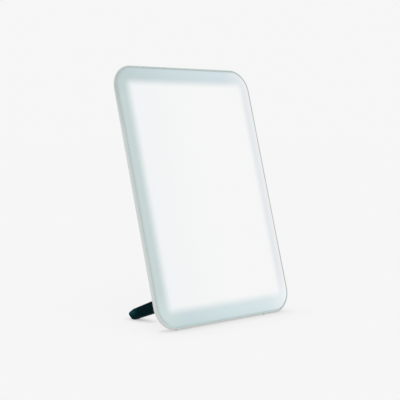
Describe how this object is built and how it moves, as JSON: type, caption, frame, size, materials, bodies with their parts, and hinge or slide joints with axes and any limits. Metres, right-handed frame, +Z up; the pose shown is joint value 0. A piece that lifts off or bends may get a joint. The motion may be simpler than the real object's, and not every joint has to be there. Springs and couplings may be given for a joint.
{
  "type": "light therapy lamp",
  "caption": "Slim upright light panel with rounded corners and a glowing diffuser front, leaning back on a fold-flat stand, with a push button and power inlet on its rear cover.",
  "frame": {"origin": "on the floor, under the middle of the lamp's outline box at rest (stand open)", "axes": "+X across the panel (to the inlet side), +Y rearwards, away from the lit face, +Z up; the panel leans back 15.2 degrees about X"},
  "size_m": [0.23, 0.0998, 0.3119],
  "materials": {
    "diffuser": "opal, satin, lit from behind",
    "gasket": "dull grey foam strip",
    "shell": "fine spark-eroded texture, satin",
    "frame_plastic": "moulded white",
    "film": "frosted film",
    "guide": "clear acrylic with a printed dot pattern",
    "reflector": "white film",
    "strip": "white solder mask",
    "led": "phosphor in a white package",
    "spreader": "mill finish sheet",
    "insulation": "black sheet",
    "board": "green solder mask",
    "ferrite": "dark ferrite",
    "capacitor": "sleeved can",
    "chip": "black moulded package",
    "connector": "cream nylon",
    "switch": "black moulded",
    "plunger": "red moulded",
    "button": "satin dark teal",
    "jack": "black moulded",
    "contact": "nickel plated",
    "wire": "insulated wire",
    "screw": "zinc plated",
    "bush": "natural nylon",
    "washer": "spring steel",
    "foot": "light grey non-slip",
    "crossbar": "dark teal coating, satin",
    "leg": "dark teal, satin",
    "pin": "ground steel",
    "pad": "black non-slip"
  },
  "bodies": {
    "lamp": {"front_diffuser": "diffuser", "diffuser_gasket": "gasket", "rear_shell": "shell", "panel_frame": "frame_plastic", "diffuser_film": "film", "light_guide": "guide", "reflector_sheet": "reflector", "led_strip_left": "strip", "led_strip_right": "strip", "led_chips": "led", "heat_spreader": "spreader", "insulation_sheet": "insulation", "electronics_cover": "shell", "driver_board": "board", "power_inductor": "ferrite", "filter_capacitors": "capacitor", "driver_chips": "chip", "board_connectors": "connector", "tact_switch": "switch", "dc_jack": "jack", "dc_jack_pin": "contact", "led_wires": "wire", "shell_screws": "screw", "cover_screws": "screw", "board_screws": "screw", "hinge_screws": "screw", "hinge_block_left": "shell", "hinge_block_right": "shell", "hinge_bushes": "bush", "friction_washers": "washer", "base_feet": "foot"},
    "button": {"power_button": "button", "switch_plunger": "plunger"},
    "stand": {"stand_crossbar": "crossbar", "stand_leg_left": "leg", "stand_leg_right": "leg", "leg_cross_pins": "pin", "leg_foot_pads": "pad"}
  },
  "joints": [
    {"name": "stand_fold", "type": "hinge", "parent": "lamp", "child": "stand", "pos_m": [0, -0.02372, 0.03193], "axis": [1, 0, 0], "range_deg": [0, 97]},
    {"name": "power_button_press", "type": "slide", "parent": "lamp", "child": "button", "axis": [0, -0.965, 0.2622], "range_m": [0, 0.0008], "stiffness_N_per_m": 2000, "springref_m": -0.0003}
  ]
}
